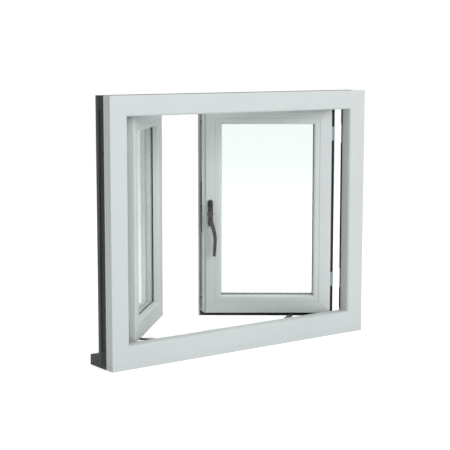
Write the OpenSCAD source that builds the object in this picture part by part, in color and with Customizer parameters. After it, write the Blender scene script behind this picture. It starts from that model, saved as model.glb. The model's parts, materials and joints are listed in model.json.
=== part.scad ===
// Outward-opening double casement window, seen from the room.
// +X to the right, +Y outdoors, +Z up.  The origin is on the underside of the
// sill, at the middle of the width and the middle of the frame's depth.

/* [Overall size] */
// Width over the outer frame
frame_w = 850; // [720:1:1100]
// Height from the underside of the sill to the top of the frame
overall_h = 700; // [560:1:1000]
// Depth of the outer frame, room face to outdoor face
frame_d = 70; // [66:1:84]

/* [Outer frame] */
// Width of the frame members seen from the room
frame_sight = 52.5; // [46:0.5:64]
// Height of the rebate floor above the frame's outer edge
floor_t = 26; // [23:0.5:30]
// Depth of the upstand that the sashes close against
upstand_d = 34.5; // [30:0.5:38]
// Depth of the room-side profile at the frame's outer edge
inner_d = 31; // [26:0.5:32]
// Radius of the upstand's inner edge
frame_round = 9.5; // [4:0.5:12]
// Wall of the hollow profiles
wall = 2.5; // [1.8:0.1:3]

/* [Sill] */
// Height of the sill at its nose
sill_h = 28; // [22:1:34]
// Height of the sill's seat under the frame, and of the trim beside it
seat_h = 10; // [9:0.5:12]
// How far the sill's nose stands out from the frame's outdoor face
sill_nose = 41; // [30:1:70]
// Height of the sill's top where it meets the frame
sill_back = 36; // [34:0.5:36]

/* [Sashes] */
// From the frame's outer edge to the sash body's edge at the jambs
sash_inset = 38.5; // [38:0.5:42]
// From the frame's outer edge to the sash body's edge at the head and the sill
sash_inset_z = 46; // [42:0.5:47]
// Depth of a sash, room face to outdoor face
sash_d = 60; // [56:1:72]
// Sightline of the sash's rails and stiles, bead included
sash_sight = 50; // [48:0.5:62]
// Width of the flat face beside the bead
face_w = 33; // [32:0.5:40]
// Width of the outdoor flange beyond the sash body at the jambs
flange_w = 10.5; // [8:0.5:10.5]
// Width of the outdoor flange beyond the sash body at the head and the sill
flange_z = 15; // [11:0.5:15]
// Depth at which the outdoor flange begins
flange_at = 33.5; // [33.5:0.5:36]
// Opening angle of the right sash as modelled
open_right = 36.5; // [0:0.5:75]
// Opening angle of the left sash as modelled
open_left = 45; // [0:0.5:75]

/* [Glass] */
// Thickness of each pane
pane_t = 4; // [3:0.5:6]
// Gap between the panes
cavity = 14; // [10:1:16]

/* [Friction stays] */
// Arm length of the right sash's stays
arm_right = 100; // [84:1:120]
// Arm length of the left sash's stays
arm_left = 70; // [58:1:84]
// From the sash body's edge to the shoe's pivot
pivot_inset = 6; // [4:0.5:6]
// Depth of the stays' line behind the sash's room face
stay_depth = 18; // [16:0.5:18.5]
// Radius of the stay pins
pin_r = 3; // [2:0.5:3.5]
// Width of the track
track_w = 18; // [16:0.5:18.5]

/* [Handle] */
// Length of the handle's base
base_l = 77; // [60:1:100]
// Width of the handle's base
base_w = 15; // [13:0.5:19]
// Length of the lever from its spindle to its tip
lever_l = 125; // [95:1:150]
// Width of the lever's blade
lever_w = 12; // [9:0.5:15]
// Thickness of the lever's blade
lever_t = 8; // [6:0.5:10]

/* [Hidden] */
$fn = 48;

// Colours
white_in = "#d6dcdb";
sash_in = "#c3c8c7";
grey_out = "#3f4644";
black = "#1d2021";
steel = "#8b9290";
pewter = "#4a4846";

// Running clearance of a pin in its hole, and of a block in its slide
pin_gap = 0.05;
slide_gap = 0.3;

// Hairline left at each side of a mitre
mitre_gap = 0.08;

// Outer frame
frame_x = frame_w / 2;
frame_y = frame_d / 2;
frame_h = overall_h - seat_h;
z_mid = seat_h + frame_h / 2;
upstand_y = upstand_d - frame_y;
inner_y = inner_d - frame_y;
edge_step = 0.5;
gasket_t = 2.2;
gasket_w = 5.5;
floor_z = seat_h + floor_t;

// Recess in the rebate floor that the stay tracks lie in
recess_d = 3.5;
recess_w = track_w + 1;

// Sashes, in the closed position
face_gap = 3.5;
sash_y = upstand_y + face_gap;
sash_x = frame_x - sash_inset;
meet_gap = 3.5;
meet_flange = 17;
ring_x = meet_gap + meet_flange;
ring_w = sash_x - ring_x;
sash_z = seat_h + sash_inset_z;
sash_h = frame_h - 2 * sash_inset_z;
meet_face = 6;
meet_step = 5;
step_at = 8;
break_at = 22;
bead_drop = 0.8;
bead_d = 18;
pad_t = 3;
pane_in_at = bead_d + pad_t;
pane_out_at = pane_in_at + pane_t + cavity;
glass_back = pane_out_at + pane_t;
lip_at = glass_back + pad_t;
glass_edge = face_w + 4;
spacer_edge = sash_sight - 9;
pad_edge = sash_sight - 8;
gasket_show = 0.6;

// Friction stays
stay_y = sash_y + stay_depth;
pivot_x = sash_x - pivot_inset;
arm_w = 14;
arm_t = 2.8;
track_wall = 1.5;
track_z = floor_z - recess_d;
shoe_l = 24;
shoe_top = floor_z + 0.6;
bar_t = 3;
bar_z = sash_z - bar_t;
arm_z = bar_z - 0.6 - arm_t;
bar_w = 14;
bar_tail = 60;

// Where the outdoor half of the frame begins, just past the stays' line
outer_profile_y = stay_y + 1;

// Height that the lock and the dogs are set out from
fittings_z = z_mid + 9;

// Lock and handle
spindle_e = 19;
spindle_z = fittings_z - 15;
spindle_s = 7;
plate_t = 3;
plate_l = 148;
bar_groove_v = 10;
bar_groove_w = 10;
bar_groove_d = 5;
cam_r = 4;
cam_out = 6;
cam_head = 2.4;
cam_inset = 41.5;
cam_z = [sash_z + cam_inset, fittings_z, sash_z + sash_h - cam_inset];
box_h = 62;
follow_r = 8;
base_t = 8;
base_gap = 0.3;
cap_drop = 12;
hub_r = 9;
hub_t = 12;
button_r = 3.5;
button_drop = 14;

// Shoot bolts
bolt_r = 3.5;
bolt_l = 120;
bolt_rest = 3;
bolt_travel = 12;
bolt_tab = 10;

// Security dogs
dog_z = 212;
dog_l = 40;
dog_t = 8;
dog_d = 13;
dog_screw_r = 2;
dog_screw_at = 10;

// ---- general helpers ------------------------------------------------

// One mitred side of a rectangular frame.  sec holds points (e, v): e inwards
// from the rectangle's edge, v along +Y.  reach is how far the section may
// stand outside the rectangle or inside it.
module mitred(w, h, sec, side, reach = 70) {
    r = reach;
    g = mitre_gap;
    mitre = side == "bottom" ? [[g - r, -r], [w + r - g, -r], [w - r - g, r], [r + g, r]]
          : side == "top" ? [[g - r, h + r], [r + g, h - r], [w - r - g, h - r], [w + r - g, h + r]]
          : side == "left" ? [[-r, g - r], [r, r + g], [r, h - r - g], [-r, h + r - g]]
          : [[w + r, g - r], [w + r, h + r - g], [w - r, h - r - g], [w - r, r + g]];
    intersection() {
        if (side == "bottom")
            translate([w + r, 0, 0]) rotate([0, -90, 0]) linear_extrude(w + 2 * r) section(sec);
        else if (side == "top")
            translate([-r, 0, h]) rotate([0, 90, 0]) linear_extrude(w + 2 * r) section(sec);
        else if (side == "left")
            translate([0, 0, -r]) linear_extrude(h + 2 * r) section(sec);
        else
            translate([w, 0, h + r]) rotate([0, 180, 0]) linear_extrude(h + 2 * r) section(sec);
        translate([0, 200, 0]) rotate([90, 0, 0]) linear_extrude(400) polygon(mitre);
    }
}

// A section is [outline] or [outline, chamber]
module section(sec) {
    difference() {
        polygon(sec[0]);
        if (len(sec) > 1) polygon(sec[1]);
    }
}

// Rectangle as points, from its low corner to its high corner
function rect(a, b) = [a, [b[0], a[1]], b, [a[0], b[1]]];

// Arc about c from angle a0 to a1, in n equal steps
function arc(c, r, a0, a1, n = 6) =
    [for (i = [0:n]) let (a = a0 + (a1 - a0) * i / n) c + r * [cos(a), sin(a)]];

// Rectangular ring, e0 to e1 inside a rectangle w by h, v0 to v1 deep
module ring(w, h, e0, e1, v0, v1) {
    difference() {
        translate([e0, v0, e0]) cube([w - 2 * e0, v1 - v0, h - 2 * e0]);
        translate([e1, v0 - 1, e1]) cube([w - 2 * e1, v1 - v0 + 2, h - 2 * e1]);
    }
}

// The same thing at the bottom and, mirrored, at the head
module both_ends() {
    children();
    translate([0, 0, 2 * z_mid]) mirror([0, 0, 1]) children();
}

// Bar with round ends from x = 0 to x = l, centred on y = 0
module round_bar(l, w, t) {
    translate([0, -w / 2, 0]) cube([l, w, t]);
    cylinder(d = w, h = t);
    translate([l, 0, 0]) cylinder(d = w, h = t);
}

// ---- outer frame ------------------------------------------------------

module at_frame() { translate([-frame_x, 0, seat_h]) children(); }

// Room-side profile of the frame: flat face, rounded inner edge, upstand
frame_inner_sec = [
    concat([[0, -frame_y]], arc([frame_sight - frame_round, frame_round - frame_y], frame_round, -90, 0),
           [[frame_sight, upstand_y], [floor_t, upstand_y], [floor_t, inner_y], [0, inner_y]]),
    concat(rect([wall, wall - frame_y], [frame_sight - frame_round, inner_y - wall]))];
frame_break_sec = [[[edge_step, inner_y], [floor_t, inner_y], [floor_t, stay_y - recess_w / 2],
    [floor_t - recess_d, stay_y - recess_w / 2], [floor_t - recess_d, outer_profile_y],
    [edge_step, outer_profile_y]]];
frame_outer_sec = [[[0, outer_profile_y], [floor_t - recess_d, outer_profile_y],
    [floor_t - recess_d, stay_y + recess_w / 2], [floor_t, stay_y + recess_w / 2], [floor_t, frame_y],
    [0, frame_y]]];

module frame_side(side) { at_frame() mitred(frame_w, frame_h, frame_inner_sec, side); }
module frame_head() { color(white_in) frame_side("top"); }
module frame_bottom() { color(white_in) frame_side("bottom"); }
module frame_jamb_left() { color(white_in) frame_side("left"); }
module frame_jamb_right() { color(white_in) frame_side("right"); }

// Wall fixing holes, two in each jamb
fix_r = 4;
fix_pitch = 400;
fix_y = inner_y + 6;

// Outer groove along each jamb
groove_y0 = inner_y + 9;
groove_in = 2.5;
groove_stop = 36;

// Polyamide strips that part the two aluminium halves, open to a groove at the jambs
module frame_thermal_break() {
    color(black) difference() {
        at_frame() for (s = ["top", "bottom", "left", "right"]) mitred(frame_w, frame_h, frame_break_sec, s);
        for (x = [-1, 1]) {
            translate([x * (frame_x - edge_step) - groove_in, groove_y0, seat_h + groove_stop])
                cube([2 * groove_in, outer_profile_y - groove_y0, frame_h - 2 * groove_stop]);
            for (z = [-1, 1])
                translate([x * (frame_x - floor_t / 2), fix_y, z_mid + z * fix_pitch / 2])
                    rotate([0, 90, 0]) cylinder(r = fix_r, h = floor_t + 2, center = true);
        }
    }
}

module frame_outer_profiles() {
    color(grey_out) at_frame()
        for (s = ["top", "bottom", "left", "right"]) mitred(frame_w, frame_h, frame_outer_sec, s);
}

// L-shaped aluminium cleats inside the mitred corners
cleat_leg = 70;
module frame_corner_cleats() {
    gap = 0.2;
    c0 = wall + gap;
    c1 = frame_sight - frame_round - gap;
    color(steel) for (x = [0, 1], z = [0, 1])
        translate([0, 0, z * 2 * z_mid]) mirror([0, 0, z]) mirror([x, 0, 0])
            at_frame() translate([0, wall - frame_y + gap, 0]) difference() {
                translate([c0, 0, c0]) cube([cleat_leg, inner_d - 2 * wall - 2 * gap, cleat_leg]);
                translate([c1, -1, c1]) cube([cleat_leg, inner_d, cleat_leg]);
            }
}

// Seal on the back of the upstand, one ring with joined corners
module frame_gasket() {
    e = frame_sight - gasket_w - 1;
    color(black) at_frame() ring(frame_w, frame_h, e, e + gasket_w, upstand_y, upstand_y + gasket_t);
}

// ---- sill -----------------------------------------------------------------

cap_t = 2;
sill_wall = 2.5;
nose_y = frame_y + sill_nose;
nose_edge = 1.5;
drip_at = nose_y - 12;
drip_w = 4;
drip_d = 3;
sill_out = [[inner_y, 0], [drip_at, 0], [drip_at, drip_d], [drip_at + drip_w, drip_d], [drip_at + drip_w, 0],
    [nose_y, 0], [nose_y, sill_h - nose_edge], [nose_y - nose_edge, sill_h], [frame_y, sill_back],
    [frame_y, seat_h], [inner_y, seat_h]];
sill_hole = rect([frame_y + sill_wall, sill_wall + drip_d], [drip_at - sill_wall, sill_h - sill_wall]);

// Hollow extruded sill: flat seat under the frame, sloped top, drip groove under the nose
module sill() {
    color(grey_out) translate([-(frame_x - cap_t), 0, 0]) rotate([90, 0, 90])
        linear_extrude(frame_w - 2 * cap_t) section([sill_out, sill_hole]);
}

module sill_end_caps() {
    color(grey_out) for (x = [-frame_x, frame_x - cap_t])
        translate([x, 0, 0]) rotate([90, 0, 90]) linear_extrude(cap_t) polygon(sill_out);
}

// Trim below the frame's room face, flush with it, hollow between closed ends
module sill_inner_trim() {
    color(white_in) translate([-frame_x, -frame_y, 0]) difference() {
        cube([frame_w, inner_d, seat_h]);
        translate([wall, wall, wall]) cube([frame_w - 2 * wall, inner_d - 2 * wall, seat_h - 2 * wall]);
    }
}

// ---- jamb fittings ------------------------------------------------------

strip_e = sash_inset - 1.7;
strip_y0 = stay_y - 8;
strip_y1 = stay_y + 3;
strip_end = frame_sight + 2;
dog_clear = 8;

// Black infill snapped into each jamb's groove, cut out around the dogs
module jamb_infill_strips() {
    color(black) difference() {
        for (x = [0, 1]) mirror([x, 0, 0])
            translate([frame_x - strip_e, strip_y0, seat_h + strip_end])
                cube([strip_e - floor_t + recess_d, strip_y1 - strip_y0, frame_h - 2 * strip_end]);
        for (z = [-1, 1])
            translate([-frame_x, -frame_y, fittings_z + z * dog_z - dog_l / 2 - dog_clear])
                cube([frame_w, frame_d, dog_l + 2 * dog_clear]);
    }
}

// Hinge-side security dogs, screwed to the jambs
module hinge_dogs_frame() {
    color(steel) for (x = [0, 1], z = [-1, 1]) mirror([x, 0, 0])
        translate([frame_x - floor_t - dog_t, sash_y + 1, fittings_z + z * dog_z - dog_l / 2]) difference() {
            cube([dog_t, dog_d, dog_l]);
            for (h = [dog_screw_at, dog_l - dog_screw_at])
                translate([-1, dog_d / 2, h]) rotate([0, 90, 0]) cylinder(r = dog_screw_r, h = dog_t + 2);
        }
}

// ---- stay tracks ------------------------------------------------------------

// Steel channel with the arm's fixed pivot, which the shoe slides in.  It runs
// from a solid pivot end at fx to x1, beside the jamb.
pivot_end = 16;
pivot_land = 9;
boss_r = 6;
track_screw_r = 2;
track_screw_at = [40, 8];
washer_gap = 0.2;
rivet_head = 0.3;
module stay_track(arm) {
    fx = pivot_x - 2 * arm;
    x1 = frame_x - floor_t - 3;
    difference() {
        translate([fx - pivot_end, stay_y - track_w / 2, track_z])
            cube([x1 - fx + pivot_end, track_w, recess_d]);
        translate([fx + pivot_land, stay_y - track_w / 2 + track_wall, track_z + track_wall])
            cube([x1 - fx, track_w - 2 * track_wall, recess_d]);
        for (x = [fx + track_screw_at[0], x1 - track_screw_at[1]])
            translate([x, stay_y, track_z - 1]) cylinder(r = track_screw_r, h = recess_d + 2);
    }
    translate([fx, stay_y, floor_z]) cylinder(r = boss_r, h = arm_z - floor_z - washer_gap);
    translate([fx, stay_y, floor_z]) cylinder(r = pin_r, h = arm_z + arm_t + rivet_head - floor_z);
}
module stay_tracks_right() { color(steel) both_ends() stay_track(arm_right); }
module stay_tracks_left() { color(steel) mirror([1, 0, 0]) both_ends() stay_track(arm_left); }

// ---- moving frames of the linkage ---------------------------------------------

// The shoe travels 2 * arm * (1 - cos(angle)) towards the fixed pivot
function shoe_shift(arm, a) = -2 * arm * (1 - cos(a));

module swung(arm, a) {
    translate([pivot_x + shoe_shift(arm, a), stay_y, 0]) rotate([0, 0, -a])
        translate([-pivot_x, -stay_y, 0]) children();
}
module on_right() { swung(arm_right, open_right) children(); }
module on_left() { mirror([1, 0, 0]) swung(arm_left, open_left) children(); }

// Support arm, pivoted on the track and under the sash bar
module stay_arm(arm, a) {
    translate([pivot_x - 2 * arm, stay_y, arm_z]) rotate([0, 0, a]) difference() {
        round_bar(arm, arm_w, arm_t);
        for (x = [0, arm]) translate([x, 0, -1]) cylinder(r = pin_r + pin_gap, h = arm_t + 2);
    }
}
module stay_arms_right() { color(steel) both_ends() stay_arm(arm_right, open_right); }
module stay_arms_left() { color(steel) mirror([1, 0, 0]) both_ends() stay_arm(arm_left, open_left); }

// Sliding shoe with the sash bar's end pivot
shoe_pin = 2.5;
module stay_shoe(arm, a) {
    foot_w = track_w - 2 * track_wall - 2 * slide_gap;
    foot_z = track_z + track_wall + washer_gap;
    translate([pivot_x + shoe_shift(arm, a), stay_y, 0]) {
        translate([-shoe_l / 2, -foot_w / 2, foot_z]) cube([shoe_l, foot_w, shoe_top - foot_z]);
        translate([0, 0, shoe_top]) cylinder(r = boss_r - 0.5, h = bar_z - rivet_head - shoe_top);
        translate([0, 0, shoe_top]) cylinder(r = pin_r, h = bar_z + shoe_pin - shoe_top);
    }
}
module stay_shoes_right() { color(black) both_ends() stay_shoe(arm_right, open_right); }
module stay_shoes_left() { color(black) mirror([1, 0, 0]) both_ends() stay_shoe(arm_left, open_left); }

// Sash bar under the bottom rail and over the top rail, with the arm's pin
module sash_bar(arm) {
    difference() {
        translate([pivot_x - arm - bar_tail, stay_y, bar_z]) round_bar(arm + bar_tail, bar_w, sash_z - bar_z);
        translate([pivot_x, stay_y, bar_z - 1]) cylinder(r = pin_r + pin_gap, h = sash_z - bar_z + 2);
        translate([sash_x, stay_y - bar_w, bar_z - 1]) cube([bar_w, 2 * bar_w, sash_z - bar_z + 2]);
    }
    translate([pivot_x - arm, stay_y, arm_z]) cylinder(r = pin_r, h = bar_z - arm_z + 0.5);
}
module right_sash_bars() { color(steel) on_right() both_ends() sash_bar(arm_right); }
module left_sash_bars() { color(steel) on_left() both_ends() sash_bar(arm_left); }

// ---- sashes, drawn closed on the right side -------------------------------------

module at_ring() { translate([ring_x, sash_y, sash_z]) children(); }

// Cuts a sash's members level at the head and the sill, beyond being how far
// they stand past the rails, and square at the hinge edge
module in_height(beyond) {
    intersection() {
        children();
        translate([-frame_x, -frame_d, sash_z - beyond])
            cube([frame_x + sash_x + flange_w, 3 * frame_d, sash_h + 2 * beyond]);
    }
}
module in_sash_height() { in_height(0) children(); }

rail_in_sec = [[[1.2, 0], [face_w, 0], [face_w, break_at], [0, break_at], [0, 1.2]],
    rect([wall, wall], [face_w - wall, break_at - wall])];
meet_in_sec = [[[meet_face + 1.2, 0], [face_w, 0], [face_w, break_at], [-meet_step, break_at],
    [-meet_step, bar_groove_v + bar_groove_w], [bar_groove_d - meet_step, bar_groove_v + bar_groove_w],
    [bar_groove_d - meet_step, bar_groove_v], [-meet_step, bar_groove_v], [-meet_step, step_at],
    [meet_face, step_at], [meet_face, 1.2]],
    rect([meet_face + wall, wall], [face_w - wall, break_at - wall])];
break_sec = [rect([2, break_at], [face_w - 2, flange_at])];
meet_break_sec = [rect([2 - meet_step, break_at], [face_w - 2, flange_at])];
function out_hole(w) = rect([3 - w, flange_at + 3], [face_w - wall, sash_d - 3]);
outer_end = [[face_w, flange_at], [face_w, lip_at], [sash_sight, lip_at], [sash_sight, sash_d - 5],
    [sash_sight - 3, sash_d]];
function flange_edge(w) = [[1.5 - w, sash_d], [-w, sash_d - 1.5]];
function outer_sec(w) = [concat([[-w, flange_at]], outer_end, flange_edge(w)), out_hole(w)];

// The astragal seats in the master sash's flange between these depths
astragal_back = 40;
astragal_lip = 29.5;
lip_w = 5.4;
meet_hole = rect([0, flange_at + 3], [face_w - wall, sash_d - 3]);
meet_outer_sec = [concat([[-meet_flange, astragal_back], [-meet_step, astragal_back],
    [-meet_step, flange_at]], outer_end, flange_edge(meet_flange)), meet_hole];
slave_outer_sec = [concat([[-meet_flange, flange_at]], outer_end, flange_edge(meet_flange)), meet_hole];

module sash_side(sec, side) { at_ring() mitred(ring_w, sash_h, sec, side); }
module sash_loop(rail, hinge, meet) {
    for (s = ["top", "bottom"]) sash_side(rail, s);
    sash_side(hinge, "right");
    sash_side(meet, "left");
}

// Places for the gearbox, the spindle and the base's screws in the master stile
module lock_cuts() {
    translate([ring_x, sash_y, 0]) {
        translate([-meet_step - 1, bar_groove_v - 0.2, spindle_z - box_h / 2 - 0.2])
            cube([face_w - wall + meet_step + 1.2, bar_groove_w + 0.4, box_h + 0.4]);
        translate([spindle_e, -1, spindle_z]) rotate([-90, 0, 0]) cylinder(r = 6, h = bar_groove_v + 1.5);
    }
}

module right_top_rail() { color(sash_in) on_right() sash_side(rail_in_sec, "top"); }
module right_bottom_rail() { color(sash_in) on_right() sash_side(rail_in_sec, "bottom"); }
module right_hinge_stile() { color(sash_in) on_right() sash_side(rail_in_sec, "right"); }
module right_meeting_stile() {
    color(sash_in) on_right() difference() {
        in_sash_height() sash_side(meet_in_sec, "left");
        lock_cuts();
    }
}
module left_top_rail() { color(sash_in) on_left() sash_side(rail_in_sec, "top"); }
module left_bottom_rail() { color(sash_in) on_left() sash_side(rail_in_sec, "bottom"); }
module left_hinge_stile() { color(sash_in) on_left() sash_side(rail_in_sec, "right"); }
module left_meeting_stile() { color(sash_in) on_left() in_sash_height() sash_side(meet_in_sec, "left"); }

module thermal_break() { in_sash_height() sash_loop(break_sec, break_sec, meet_break_sec); }
module right_thermal_break() { color(black) on_right() thermal_break(); }
module left_thermal_break() { color(black) on_left() thermal_break(); }
module outer_profiles(meet) {
    in_height(flange_z) sash_loop(outer_sec(flange_z), outer_sec(flange_w), meet);
}
module right_outer_profiles() { color(grey_out) on_right() outer_profiles(meet_outer_sec); }
module left_outer_profiles() { color(grey_out) on_left() outer_profiles(slave_outer_sec); }

// Insulating glass: two panes and the spacer between them
module glass_panes() {
    at_ring() for (v = [pane_in_at, pane_out_at])
        translate([glass_edge, v, glass_edge])
            cube([ring_w - 2 * glass_edge, pane_t, sash_h - 2 * glass_edge]);
}
module spacer() {
    at_ring() ring(ring_w, sash_h, spacer_edge, sash_sight - 1, pane_in_at + pane_t, pane_out_at);
}
module right_glass_panes() { color("#cfe0e2", 0.35) on_right() glass_panes(); }
module left_glass_panes() { color("#cfe0e2", 0.35) on_left() glass_panes(); }
module right_spacer() { color("#b5bab9") on_right() spacer(); }
module left_spacer() { color("#b5bab9") on_left() spacer(); }

// Snap-in glazing beads, mitred, with a rounded edge towards the glass
bead_round = 6;
bead_sec = [concat([[face_w, bead_drop]],
    arc([sash_sight - bead_round, bead_drop + bead_round], bead_round, -90, 0, 5),
    [[sash_sight, bead_d], [face_w, bead_d]]),
    rect([face_w + 2, bead_drop + 2], [sash_sight - bead_round, bead_d - 2])];
module beads() { for (s = ["top", "bottom", "left", "right"]) sash_side(bead_sec, s); }
module right_beads() { color(sash_in) on_right() beads(); }
module left_beads() { color(sash_in) on_left() beads(); }

// Glazing gaskets on both faces of the glass
module gaskets() {
    at_ring() for (v = [[bead_d, pane_in_at], [glass_back, lip_at]])
        ring(ring_w, sash_h, pad_edge, sash_sight + gasket_show, v[0], v[1]);
}
module right_gaskets() { color(black) on_right() gaskets(); }
module left_gaskets() { color(black) on_left() gaskets(); }

// Weather seal on the flange's room side, along the two rails and the hinge stile
seal_t = 2;
module weather_seal() {
    e0 = 1 - flange_w;
    at_ring() difference() {
        ring(ring_w, sash_h, e0, e0 + 4, flange_at - seal_t, flange_at);
        translate([-meet_flange - 1, 0, -flange_w])
            cube([meet_flange + 1, flange_at + 1, sash_h + 2 * flange_w]);
    }
}
module right_weather_seal() { color(black) on_right() weather_seal(); }
module left_weather_seal() { color(black) on_left() weather_seal(); }

// Plastic packers that carry the glass
module packers() {
    at_ring() for (x = [80, ring_w - 140], z = [face_w, sash_h - glass_edge])
        translate([x, pane_in_at, z]) cube([60, glass_back - pane_in_at, glass_edge - face_w]);
}
module right_packers() { color("#3566a0") on_right() packers(); }
module left_packers() { color("#3566a0") on_left() packers(); }

// Security dogs on the hinge edge
module sash_dogs() {
    for (z = [-1, 1]) translate([sash_x, sash_y + flange_at - 11, fittings_z + z * dog_z - dog_l / 2])
        difference() {
            cube([flange_w - 3, dog_t, dog_l]);
            for (h = [dog_screw_at, dog_l - dog_screw_at])
                translate([-1, dog_t / 2, h]) rotate([0, 90, 0]) cylinder(r = dog_screw_r, h = flange_w);
        }
}
module right_hinge_dogs() { color("#9fb0b8") on_right() sash_dogs(); }
module left_hinge_dogs() { color("#9fb0b8") on_left() sash_dogs(); }

// Light cover on the master sash's meeting flange, with its raised lip, notched
// at both ends for the rails' flanges
module astragal() {
    color(sash_in) on_right() translate([ring_x, sash_y, sash_z]) difference() {
        translate([0, 0, -flange_z]) linear_extrude(sash_h + 2 * flange_z)
            polygon([[-meet_step, flange_at], [-meet_step, astragal_back], [-meet_flange, astragal_back],
                [-meet_flange, astragal_lip], [lip_w - meet_flange, astragal_lip],
                [lip_w - meet_flange, flange_at]]);
        for (z = [-flange_z - 1, sash_h])
            translate([-flange_z, flange_at - 1, z]) cube([flange_z, astragal_back, flange_z + 1]);
    }
}

// Profile on the slave sash's edge that the master sash closes over.  Its two
// ends are solid and guide the shoot bolts, whose thumb tabs run in its slots.
bar_reach = 22;
meet_bar_v = [12, 28];
bar_wall = 2;
bar_plug = 12;
bar_end = 30;
bolt_e = bar_reach / 2;
bolt_v = (meet_bar_v[0] + meet_bar_v[1]) / 2;
module meeting_bar() {
    l = sash_h - 2 * bar_end;
    x = ring_x - meet_step - bar_reach;
    color(sash_in) on_left() translate([x, sash_y, sash_z + bar_end]) difference() {
        linear_extrude(l) polygon(rect([0, meet_bar_v[0]], [bar_reach, meet_bar_v[1]]));
        translate([bar_wall, meet_bar_v[0] + bar_wall, bar_plug])
            cube([bar_reach - 2 * bar_wall, meet_bar_v[1] - meet_bar_v[0] - 2 * bar_wall, l - 2 * bar_plug]);
        translate([bolt_e, bolt_v, -1]) cylinder(r = bolt_r + pin_gap, h = l + 2);
        for (z = [bolt_rest + bolt_l - bar_end - bolt_tab - bolt_travel - 2,
                  l + bar_end - bolt_rest - bolt_l - 2])
            translate([bolt_e - bolt_r + 0.5, meet_bar_v[0] - 1, z])
                cube([2 * bolt_r - 1, 4, bolt_tab + bolt_travel + 4]);
    }
}

// ---- shoot bolts of the slave sash -------------------------------------------------

// The thumb tab stands at the bolt's inner end
module shoot_bolt(down) {
    z = down ? sash_z + bolt_rest : sash_z + sash_h - bolt_rest - bolt_l;
    tab_w = 2 * bolt_r - 2;
    color(steel) on_left() translate([ring_x - meet_step - bolt_e, sash_y + bolt_v, z]) {
        cylinder(r = bolt_r, h = bolt_l);
        translate([-tab_w / 2, -bolt_v + meet_bar_v[0] - 3, down ? bolt_l - bolt_tab : 0])
            cube([tab_w, bolt_v - meet_bar_v[0] + 3, bolt_tab]);
    }
}
module shoot_bolt_top() { shoot_bolt(false); }
module shoot_bolt_bottom() { shoot_bolt(true); }

// Keeps on the frame that the shoot bolts run into
keep_w = 24;
keep_d = 16;
keep_gap = 0.6;
module bolt_keeps() {
    x = -(ring_x - meet_step - bolt_e);
    y = sash_y + bolt_v;
    color(steel) both_ends() difference() {
        translate([x - keep_w / 2, y - keep_d / 2, floor_z]) cube([keep_w, keep_d, sash_z - 4 - floor_z]);
        translate([x, y, floor_z + 1]) cylinder(r = bolt_r + keep_gap, h = sash_z - floor_z);
    }
}

// ---- espagnolette lock and handle ------------------------------------------------------

module at_lock() { on_right() translate([ring_x, sash_y, 0]) children(); }

// Lock plate over the groove, slotted for the middle cam's travel
plate_lap = 1.5;
plate_screw_r = 2;
cam_travel = 18;
module espag_faceplate() {
    color(pewter) at_lock() translate([-meet_step - plate_t, bar_groove_v, fittings_z]) difference() {
        translate([0, -plate_lap, -plate_l / 2]) cube([plate_t, bar_groove_w + 2 * plate_lap, plate_l]);
        translate([-1, 0.5, -cam_r - 1]) cube([plate_t + 2, bar_groove_w - 1, 2 * cam_r + cam_travel + 4]);
        for (z = [-1, 1]) translate([-1, bar_groove_w / 2, z * (plate_l / 2 - 8)])
            rotate([0, 90, 0]) cylinder(r = plate_screw_r, h = plate_t + 2);
    }
}

// Gearbox case: the spindle's follower turns in its bore
module espag_gearbox() {
    color(steel) at_lock() difference() {
        translate([1, bar_groove_v, spindle_z - box_h / 2]) cube([face_w - wall - 1, bar_groove_w, box_h]);
        translate([spindle_e, bar_groove_v - 1, spindle_z]) rotate([-90, 0, 0])
            cylinder(r = follow_r + pin_gap, h = bar_groove_w + 2);
    }
}

// Drive bar behind the faceplate, with three mushroom cams
drive_t = 2.4;
drive_end = 15;
module espag_drive_bar() {
    v = bar_groove_v + bar_groove_w / 2;
    color(steel) at_lock() {
        translate([-meet_step + 0.6, bar_groove_v + slide_gap, cam_z[0] - drive_end])
            cube([drive_t, bar_groove_w - 2 * slide_gap, cam_z[2] - cam_z[0] + 2 * drive_end]);
        for (z = cam_z) translate([-meet_step - cam_out, v, z]) rotate([0, 90, 0]) {
            cylinder(r = cam_r, h = cam_head);
            cylinder(r = cam_r - 1.4, h = cam_out + 1);
        }
    }
}

// Base with round ends, screwed to the stile through two holes
spindle_hole_r = 5.5;
base_screw_r = 2.6;
module handle_base() {
    r = base_w / 2;
    color(pewter) at_lock() translate([spindle_e, 0, spindle_z]) rotate([90, 0, 0]) difference() {
        union() {
            translate([-r, -base_l / 2 + r, 0]) cube([base_w, base_l - base_w, base_t]);
            for (z = [-1, 1]) translate([0, z * (base_l / 2 - r), 0]) cylinder(r = r, h = base_t);
        }
        translate([0, 0, -1]) cylinder(r = spindle_hole_r, h = base_t + 2);
        for (z = [-1, 1])
            translate([0, z * (base_l / 2 - cap_drop), -1]) cylinder(r = base_screw_r, h = base_t + 2);
    }
}

// Domed cap over the upper fixing screw
cap_h = 4;
module handle_cap() {
    color(black) at_lock()
        translate([spindle_e, -base_t, spindle_z + base_l / 2 - cap_drop]) rotate([90, 0, 0])
            intersection() {
                cylinder(r = base_w / 2 - 1, h = cap_h);
                translate([0, 0, -cap_h]) sphere(r = 2 * cap_h);
            }
}

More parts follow.
